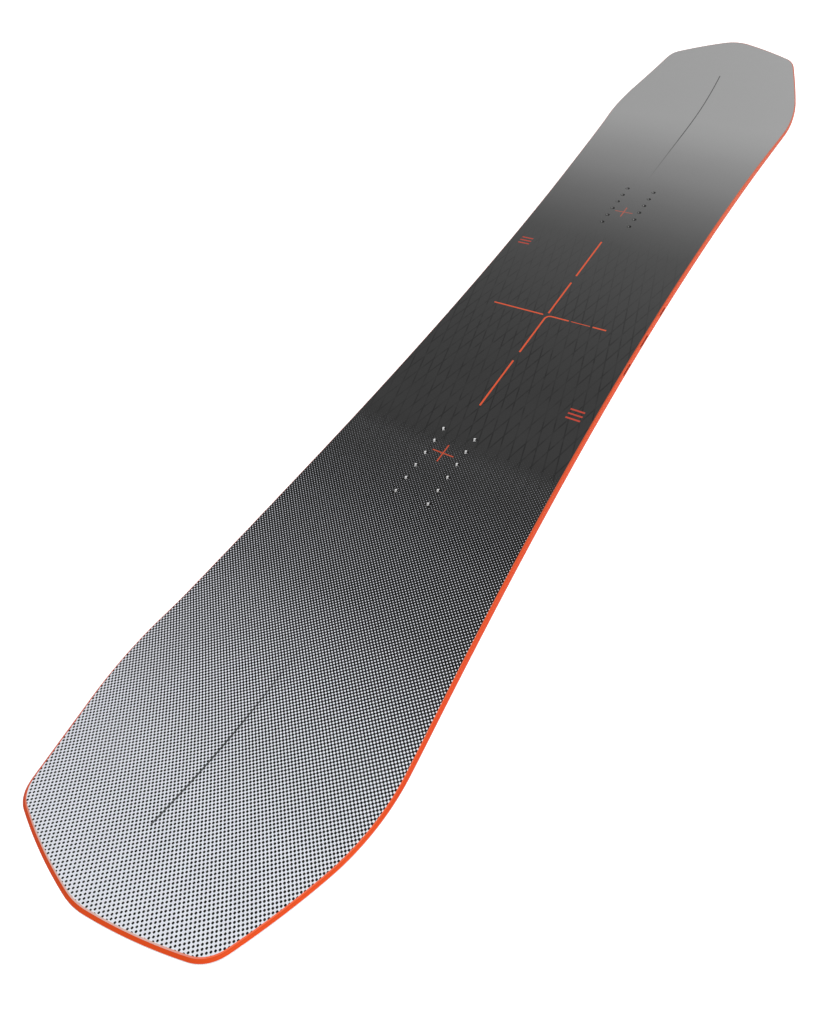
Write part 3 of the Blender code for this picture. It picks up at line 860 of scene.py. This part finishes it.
def print_material():
    """Satin film over a print: dots at the tail, solid ink in the middle, an even grey at the nose."""
    surface = Surface("printed_film")
    net = worn_net(surface)
    nose_x = GREY_STOPS[0][0]
    nose_share = surface.remap(surface.x, nose_x - NOSE_BLEND, nose_x, 0.0, 1.0, smooth=True)
    colour = surface.mix(nose_share, tail_half(surface, net), nose_half(surface, net))
    tip_ink = surface.times(tip_lines(surface), TIP_LINE_STRENGTH)
    colour = surface.mix(tip_ink, colour, grey(TIP_LINE_GREY))
    colour = surface.mix(badges(surface), colour, srgb(*BADGE_COLOUR))
    marks = surface.union([crosshair(surface), stance_crosses(surface)])
    colour = surface.mix(marks, colour, srgb(*MARK_COLOUR))
    roughness = surface.spread(surface.noise(**FILM_SHEEN), *FILM_ROUGHNESS)
    relief = surface.bump(surface.noise(**FILM_GRAIN), FILM_RELIEF)
    return surface.finish(colour, roughness, relief=relief, Specular_IOR_Level=FILM_SPECULAR)


def film_edge_material():
    """The film's cut edge: painted highlight and shade along the board, stained by the orange rim in spots.
    """
    surface = Surface("film_edge")
    stain = surface.times(surface.noise(**FILM_EDGE_SPOTS), FILM_EDGE_STAIN)
    colour = surface.mix(stain, surface.tone_along(FILM_EDGE_LIGHT_AND_SHADE_TONES), srgb(*SHADE_AND_STAIN_ORANGE))
    roughness = surface.spread(surface.noise(**FILM_EDGE_GRAIN), *FILM_EDGE_ROUGHNESS)
    return surface.finish(colour, roughness, Specular_IOR_Level=RIM_SPECULAR)


def mark_film_edge(shape):
    """Give the faces around the film's outline, which lie on one side of the middle, the second material."""
    for face in shape.faces:
        ys = [vert.co.y for vert in face.verts]
        if min(ys) > -MERGE_DISTANCE or max(ys) < MERGE_DISTANCE:
            face.material_index = 1


def make_topsheet(all_stations):
    """The printed film, its upper edge eased and a round hole over every insert."""
    underside = from_top(TOPSHEET_THICKNESS)
    eased = from_top(FILM_EDGE_EASE)
    top = from_top(0.0)
    section = [
        (lean_at(underside), underside),
        (lean_at(eased), eased),
        (lean_at(top, extra=FILM_EDGE_EASE), top),
    ]
    shape = plate(all_stations, section)
    mark_film_edge(shape)
    mesh = smooth_mesh("printed_topsheet", shape, print_material())
    mesh.materials.append(film_edge_material())
    piece = add_piece("printed_topsheet", mesh, "topsheet")
    cut_away(piece, insert_hole_shapes())
    keep_faces_flat(piece)


def insert_hole_shapes():
    """Round drills through the topsheet over every insert."""
    shape = bmesh.new()
    for node in insert_nodes():
        x, y = node_middle(node)
        made = bmesh.ops.create_cone(
            shape, cap_ends=True, segments=HOLE_SEGMENTS,
            radius1=HOLE_RADIUS, radius2=HOLE_RADIUS, depth=2 * CUT_MARGIN,
        )
        bmesh.ops.translate(shape, verts=made["verts"], vec=(x, y, MIDDLE_THICKNESS))
    return shape


# ================ rim, steel and base
def rim_section():
    """The outer face and top of the plastic rim: shared by the side walls and the tip spacers."""
    lip_top = from_top(TOPSHEET_THICKNESS + GLUE_LINE)
    levels = [from_base(CORE_BOTTOM)]
    levels += [around_knee(share) for share in (-1.0, -0.5, 0.0, 0.5, 1.0)]
    levels.append(lip_top)
    section = [(lean_at(level), level) for level in levels]
    section.append((fixed(SIDE_WALL_LIP), lip_top))
    section.append((fixed(SIDE_WALL_LIP), from_top(CORE_TOP_DEPTH)))
    return section


def slot_mask(surface):
    """1 inside the round-ended slots of the right side wall, seen from its side."""
    up = surface.minus(surface.z, SLOT_MIDDLE / MM)
    radius = SLOT_HEIGHT / 2 / MM
    masks = []
    for middle, length in WALL_SLOTS:
        half_run = length / 2 / MM - radius
        off_middle = surface.math("ABSOLUTE", surface.minus(surface.x, middle / MM))
        along = surface.math("MAXIMUM", surface.minus(off_middle, half_run), 0.0)
        squares = surface.plus(surface.times(along, along), surface.times(up, up))
        masks.append(surface.math("LESS_THAN", squares, radius ** 2))
    on_right = surface.math("LESS_THAN", surface.y, 0.0)
    return surface.times(surface.union(masks), on_right)


def rim_material():
    """Orange ABS: painted shade on the steeper face below the bevel, which leaves the bevel paler, fine
    lengthwise milling lines and dark slots.
    """
    surface = Surface("orange_abs")
    colour = surface.tone_along(RIM_TONES)
    normal = surface.add("ShaderNodeSeparateXYZ")
    surface.put(surface.add("ShaderNodeNewGeometry").outputs["Normal"], normal.inputs[0])
    # Painted shade: faces that turn from the light above get the deeper orange.
    depth = surface.remap(normal.outputs[2], *BEVEL_FACING, PAINTED_SHADE_SHARE, 0.0, smooth=True)
    mottle = surface.spread(surface.noise(**RIM_CLOUDS), 0.0, RIM_MOTTLE)
    colour = surface.mix(surface.plus(depth, mottle), colour, srgb(*SHADE_AND_STAIN_ORANGE))
    colour = surface.mix(slot_mask(surface), colour, srgb(*SLOT_COLOUR))
    milling = surface.noise(**RIM_MILLING)
    roughness = surface.spread(milling, *RIM_ROUGHNESS)
    relief = surface.bump(milling, RIM_RELIEF)
    return surface.finish(colour, roughness, relief=relief, Specular_IOR_Level=RIM_SPECULAR)


def make_rim(all_stations):
    """The two side walls and the two tip spacers, which meet end to end."""
    material = rim_material()
    overhang = SPACER_GAP - RIM_JOINT
    wall_row = between(all_stations, CORE_END_TAIL_X - overhang, CORE_END_NOSE_X + overhang)
    wall_section = rim_section() + [
        (fixed(SIDE_WALL_WIDTH), from_top(CORE_TOP_DEPTH)),
        (fixed(SIDE_WALL_WIDTH), from_base(CORE_BOTTOM)),
    ]
    for side, side_name in ((1, "left"), (-1, "right")):
        mesh = smooth_mesh(f"rim_{side_name}", ribbon(wall_row, wall_section, side), material)
        wall = add_piece(f"rim_{side_name}", mesh, f"side_wall_{side_name}")
        if side < 0:
            cut_away(wall, slot_shapes())
        keep_faces_flat(wall)
    nose_row = between(all_stations, CORE_END_NOSE_X + SPACER_GAP, NOSE_TIP_X)
    tail_row = between(all_stations, TAIL_TIP_X, CORE_END_TAIL_X - SPACER_GAP)
    for row, end in ((nose_row, "nose"), (tail_row, "tail")):
        mesh = smooth_mesh(f"rim_{end}", plate(row, rim_section()), material)
        keep_faces_flat(add_piece(f"rim_{end}", mesh, f"{end}_spacer"))


def slot_outline(length):
    """A round-ended slot about its own middle, as (along, up) points."""
    radius = SLOT_HEIGHT / 2
    half_run = length / 2 - radius
    outline = []
    for k in range(SLOT_SEGMENTS):
        angle = 2 * math.pi * k / SLOT_SEGMENTS
        shift = half_run if math.cos(angle) > 0 else -half_run
        outline.append((shift + radius * math.cos(angle), radius * math.sin(angle)))
    return outline


def slot_shapes():
    """The shallow slots' cutters, round-ended and tilted with the right side wall's face."""
    shape = bmesh.new()
    for middle, length in WALL_SLOTS:
        face_y = sidecut(middle).y - lean_at(from_base(SLOT_MIDDLE))(middle)
        tilt = math.atan(leans(middle)[0])
        rings = []
        for depth in (-SLOT_DEPTH, SLOT_DEPTH):
            ring = []
            for along, up in slot_outline(length):
                y = -face_y + up * math.sin(tilt) + depth * math.cos(tilt)
                z = SLOT_MIDDLE + up * math.cos(tilt) - depth * math.sin(tilt)
                ring.append(shape.verts.new((middle + along, y, z)))
            rings.append(ring)
        bridge(shape, rings)
        for ring in rings:
            shape.faces.new(ring)
    bmesh.ops.recalc_face_normals(shape, faces=shape.faces)
    return shape


def steel_material():
    """Ground carbon steel: lengthwise grinding lines."""
    surface = Surface("edge_steel")
    grinding = surface.noise(**STEEL_GRINDING)
    colour = surface.tone(grinding, STEEL_COLOURS)
    roughness = surface.spread(grinding, *STEEL_ROUGHNESS)
    return surface.finish(colour, roughness, metallic=1.0, relief=surface.bump(grinding, STEEL_RELIEF))


def make_steel_edges(all_stations):
    """The two steel edges, each with a thin flange that reaches in under the core."""
    low, high = FLANGE_HEIGHTS
    section = [
        (fixed(0.0), from_base(0.0)),
        (fixed(0.0), from_base(STEEL_HEIGHT)),
        (fixed(STEEL_WIDTH), from_base(STEEL_HEIGHT)),
        (fixed(STEEL_WIDTH), from_base(high)),
        (fixed(FLANGE_REACH), from_base(high)),
        (fixed(FLANGE_REACH), from_base(low)),
        (fixed(STEEL_WIDTH), from_base(low)),
        (fixed(STEEL_WIDTH), from_base(0.0)),
    ]
    material = steel_material()
    for side, side_name in ((1, "left"), (-1, "right")):
        mesh = smooth_mesh(f"running_edge_{side_name}", ribbon(all_stations, section, side), material)
        edge = add_piece(f"running_edge_{side_name}", mesh, f"steel_edge_{side_name}")
        soften_edges(edge, STEEL_EDGE_SOFTNESS)


def base_material():
    """Sintered base: nearly black, stone-ground with fine lengthwise lines."""
    surface = Surface("sintered_base")
    colour = surface.tone(surface.noise(**BASE_MOTTLE), BASE_COLOURS)
    grinding = surface.noise(**BASE_GRINDING)
    roughness = surface.spread(grinding, *BASE_ROUGHNESS)
    return surface.finish(colour, roughness, relief=surface.bump(grinding, BASE_RELIEF))


def make_base(all_stations):
    """The running base, thinner along its rim to pass under the edges' flanges."""
    outer = STEEL_WIDTH + GLUE_LINE
    step = FLANGE_REACH + GLUE_LINE * 2
    section = [
        (fixed(outer), from_base(0.0)),
        (fixed(outer), from_base(BASE_RIM_THICKNESS)),
        (fixed(step), from_base(BASE_RIM_THICKNESS)),
        (fixed(step), from_base(BASE_THICKNESS)),
    ]
    mesh = smooth_mesh("running_base", plate(all_stations, section), base_material())
    keep_faces_flat(add_piece("running_base", mesh, "base_sheet"))


# ================ inserts
def insert_nodes():
    return sorted(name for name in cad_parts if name.startswith(("insert_front", "insert_rear")))


def node_middle(name):
    low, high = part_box(name)
    return (low.x + high.x) / 2, (low.y + high.y) / 2


def insert_radius(height, top, angle):
    """The threaded bore's radius at a height and angle: a triangular groove that climbs one pitch a turn."""
    turns = (top - height) / THREAD_PITCH + angle / (2 * math.pi)
    share = abs(2 * (turns % 1.0) - 1)
    return THREAD_MINOR + (THREAD_MAJOR - THREAD_MINOR) * share


def thread_rings(floor, thread_top, angles):
    """The bore's wall from its floor up: rings of (radius, height), one for each angle."""
    rows = round((thread_top - floor) / THREAD_PITCH * THREAD_ROWS_PER_PITCH)
    rings = []
    for i in range(rows + 1):
        z = floor + (thread_top - floor) * i / rows
        rings.append([(insert_radius(z, thread_top, angle), z) for angle in angles])
    return rings


def barrel_outline(foot, mouth):
    """The outside from the mouth down, as (radius, height): a barrel with two grooves, then the flange."""
    shoulder = foot + FLANGE_THICKNESS
    groove = GROOVE_DEPTH
    outline = [
        (THREAD_MAJOR + MOUTH_CHAMFER / 2, mouth),
        (BARREL_RADIUS - groove, mouth),
        (BARREL_RADIUS, mouth - groove),
    ]
    for share in GROOVE_HEIGHT_SHARES:
        z = shoulder + (mouth - shoulder) * share
        outline += [(BARREL_RADIUS, z + groove * 2), (BARREL_RADIUS - groove, z + groove)]
        outline += [(BARREL_RADIUS - groove, z - groove), (BARREL_RADIUS, z - groove * 2)]
    return outline + [(BARREL_RADIUS, shoulder), (FLANGE_RADIUS, shoulder), (FLANGE_RADIUS, foot)]


def insert_mesh(foot, mouth, material):
    """A blind M6 insert about its own axis: drill point, thread, chamfered mouth, barrel and flange."""
    shape = bmesh.new()
    floor = foot + BORE_FLOOR
    angles = [2 * math.pi * k / INSERT_SEGMENTS for k in range(INSERT_SEGMENTS)]
    profile = thread_rings(floor, mouth - MOUTH_CHAMFER, angles)
    profile += [[point] * INSERT_SEGMENTS for point in barrel_outline(foot, mouth)]
    rings = []
    for ring in profile:
        verts = []
        for (radius, z), angle in zip(ring, angles):
            verts.append(shape.verts.new((radius * math.cos(angle), radius * math.sin(angle), z)))
        rings.append(verts)
    bridge(shape, rings)
    shape.faces.new(rings[-1])
    tip = shape.verts.new((0.0, 0.0, floor - DRILL_POINT))
    for k in range(INSERT_SEGMENTS):
        shape.faces.new((tip, rings[0][k], rings[0][(k + 1) % INSERT_SEGMENTS]))
    bmesh.ops.recalc_face_normals(shape, faces=shape.faces)
    return smooth_mesh("m6_insert", shape, material)


def insert_material():
    """Stainless steel with painted shade down the bore, darker in the rear pack. The rear pack's bores each
    have one painted glint, a bright glowing streak.
    """
    surface = Surface("stainless_insert")
    turning = surface.noise(**INSERT_TURNING)
    position = surface.add("ShaderNodeSeparateXYZ")
    surface.put(surface.add("ShaderNodeNewGeometry").outputs["Position"], position.inputs[0])
    in_rear_pack = surface.math("LESS_THAN", position.outputs[0], 0.0)
    # Painted shade down the bore, darker in the rear pack than in the front one.
    rear = surface.shade(turning, REAR_BORE_SHADE_GREYS)
    front = surface.shade(turning, FRONT_BORE_SHADE_GREYS)
    dark = surface.mix(in_rear_pack, front, rear)
    # Painted glint: a bright, glowing streak where the bore's wall faces one fixed way, in the rear pack
    # only.
    facing = surface.add("ShaderNodeVectorMath", operation="DOT_PRODUCT")
    surface.put(surface.add("ShaderNodeNewGeometry").outputs["True Normal"], facing.inputs[0])
    facing.inputs[1].default_value = PAINTED_GLINT_FACING
    painted_glint_share = surface.remap(facing.outputs["Value"], *PAINTED_GLINT_SPREAD, 0.0, 1.0, smooth=True)
    painted_glint_share = surface.times(painted_glint_share, in_rear_pack)
    colour = surface.mix(painted_glint_share, dark, grey(PAINTED_GLINT_GREY))
    roughness = surface.spread(turning, *INSERT_ROUGHNESS)
    metallic = surface.minus(1.0, painted_glint_share)
    painted_glint_emission = surface.times(painted_glint_share, PAINTED_GLINT_GLOW)
    return surface.finish(colour, roughness, metallic, Emission_Color=grey(255), Emission_Strength=painted_glint_emission)


def make_inserts():
    low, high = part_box(insert_nodes()[0])
    mesh = insert_mesh(low.z, high.z, insert_material())
    for node in insert_nodes():
        add_piece(f"m6_{node}", mesh, node, location=(*node_middle(node), 0.0))


# ================ hidden layers' materials
def wood_material(name, colours, ring_period):
    """Stringer wood: growth rings cut lengthwise and drawn-out fibres."""
    surface = Surface(name)
    bend = surface.times(surface.noise(**RING_BEND), ring_period * RING_BEND_PERIODS)
    across = surface.plus(surface.y, bend)
    rings = surface.remap(surface.wave(across, ring_period), -1.0, 1.0, 0.0, 1.0)
    fibres = surface.noise(**WOOD_FIBRES)
    ring_tone = surface.times(rings, RING_SHARE)
    fibre_tone = surface.times(fibres, WOOD_FIBRE_SHARE)
    colour = surface.tone(surface.plus(ring_tone, fibre_tone), colours)
    roughness = surface.spread(fibres, *WOOD_ROUGHNESS)
    return surface.finish(colour, roughness, relief=surface.bump(fibres, WOOD_RELIEF))


def glass_material():
    """Glass fibre in clear resin: three crossing families of rovings."""
    surface = Surface("glass_laminate")
    total = 0.0
    for turn in GLASS_TURNS:
        along = surface.times(surface.x, math.sin(math.radians(turn)))
        across = surface.times(surface.y, math.cos(math.radians(turn)))
        total = surface.plus(total, surface.wave(surface.plus(along, across), GLASS_PERIOD))
    rovings = surface.remap(total, -len(GLASS_TURNS), len(GLASS_TURNS), 0.0, 1.0)
    colour = surface.tone(rovings, GLASS_COLOURS)
    roughness = surface.remap(rovings, 0.0, 1.0, *GLASS_ROUGHNESS)
    return surface.finish(colour, roughness, relief=surface.bump(rovings, GLASS_RELIEF))


def carbon_material():
    """Plain-woven carbon: tows that pass over and under each other, with a satin shine."""
    surface = Surface("carbon_weave")
    tows = surface.spots(CARBON_PERIOD)
    step = surface.math("GREATER_THAN", tows, 0.0)
    fibres = surface.times(surface.noise(**CARBON_FIBRES), CARBON_FIBRE_SHARE)
    colour = surface.tone(fibres, CARBON_COLOURS)
    roughness = surface.remap(step, 0.0, 1.0, *CARBON_ROUGHNESS)
    return surface.finish(colour, roughness, relief=surface.bump(tows, CARBON_RELIEF))


def rubber_material():
    """Matt black rubber with a fine grain."""
    surface = Surface("damping_rubber")
    grain = surface.noise(**RUBBER_GRAIN)
    colour = surface.tone(grain, RUBBER_COLOURS)
    roughness = surface.spread(grain, *RUBBER_ROUGHNESS)
    return surface.finish(colour, roughness, relief=surface.bump(grain, RUBBER_RELIEF))


def dress_hidden_layers():
    """Give every CAD node that stays its procedural material."""
    poplar = wood_material("poplar_core", POPLAR_COLOURS, POPLAR_RING_PERIOD)
    beech = wood_material("beech_core", BEECH_COLOURS, BEECH_RING_PERIOD)
    glass = glass_material()
    rules = [
        (("core_inner", "core_outer", "core_middle"), beech),
        (("core_mid_", "core_tape"), poplar),
        (("top_laminate", "bottom_laminate", "insert_mat"), glass),
        (("carbon_tape",), carbon_material()),
        (("rubber_foil",), rubber_material()),
    ]
    for name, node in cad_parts.items():
        for prefixes, material in rules:
            if name.startswith(prefixes):
                node.data.materials.clear()
                node.data.materials.append(material)


# ================ floor, light, camera
def make_floor():
    """A wide pale floor that is seen from above only, so the base can be looked at from below."""
    bpy.ops.mesh.primitive_plane_add(size=FLOOR_SIZE, location=(0.0, 0.0, cad_low.z - FLOOR_DROP))
    floor = bpy.context.object
    floor.name = "floor"
    surface = Surface("floor_paint")
    colour = surface.shade(surface.noise(**FLOOR_CLOUDS), FLOOR_GREYS)
    surface.finish(
        colour, FLOOR_ROUGHNESS,
        Specular_IOR_Level=0.0, Emission_Color=grey(255), Emission_Strength=FLOOR_GLOW,
    )
    clear = surface.add("ShaderNodeBsdfTransparent")
    side = surface.add("ShaderNodeNewGeometry")
    choice = surface.add("ShaderNodeMixShader")
    surface.put(side.outputs["Backfacing"], choice.inputs[0])
    surface.put(surface.shader.outputs[0], choice.inputs[1])
    surface.put(clear.outputs[0], choice.inputs[2])
    surface.put(choice.outputs[0], surface.tree.nodes["Material Output"].inputs["Surface"])
    floor.data.materials.append(surface.material)


def make_key_light():
    """One broad lamp, aimed at the middle of the board."""
    data = bpy.data.lights.new("key", "AREA")
    data.shape = "DISK"
    data.size = KEY_SIZE
    data.energy = KEY_POWER
    light = bpy.data.objects.new("key", data)
    light.location = KEY_PLACE
    to_middle = -Vector(KEY_PLACE)
    light.rotation_euler = to_middle.to_track_quat("-Z", "Y").to_euler()
    bpy.context.scene.collection.objects.link(light)


def make_surround():
    """A white surround, softer as a light than it looks, and the plain view transform."""
    world = bpy.data.worlds.new("studio")
    world.use_nodes = True
    nodes = world.node_tree.nodes
    background = nodes["Background"]
    background.inputs["Color"].default_value = (1.0, 1.0, 1.0, 1.0)
    strength = nodes.new("ShaderNodeMapRange")
    strength.inputs["To Min"].default_value = WORLD_STRENGTH
    strength.inputs["To Max"].default_value = 1.0
    ray = nodes.new("ShaderNodeLightPath")
    world.node_tree.links.new(ray.outputs["Is Camera Ray"], strength.inputs["Value"])
    world.node_tree.links.new(strength.outputs["Result"], background.inputs["Strength"])
    bpy.context.scene.world = world
    bpy.context.scene.view_settings.view_transform = "Standard"


def make_camera():
    data = bpy.data.cameras.new("camera")
    data.sensor_fit = "AUTO"
    data.sensor_width = CAMERA_SENSOR
    data.lens = CAMERA_LENS
    data.clip_start = CAMERA_NEAR
    camera = bpy.data.objects.new("camera", data)
    camera.location = CAMERA_PLACE
    camera.rotation_euler = [math.radians(angle) for angle in CAMERA_TURN]
    bpy.context.scene.collection.objects.link(camera)
    bpy.context.scene.camera = camera


# ================ the scene
outline_stations = stations()
make_topsheet(outline_stations)
make_rim(outline_stations)
make_steel_edges(outline_stations)
make_base(outline_stations)
make_inserts()
dress_hidden_layers()
make_floor()
make_surround()
make_key_light()
make_camera()
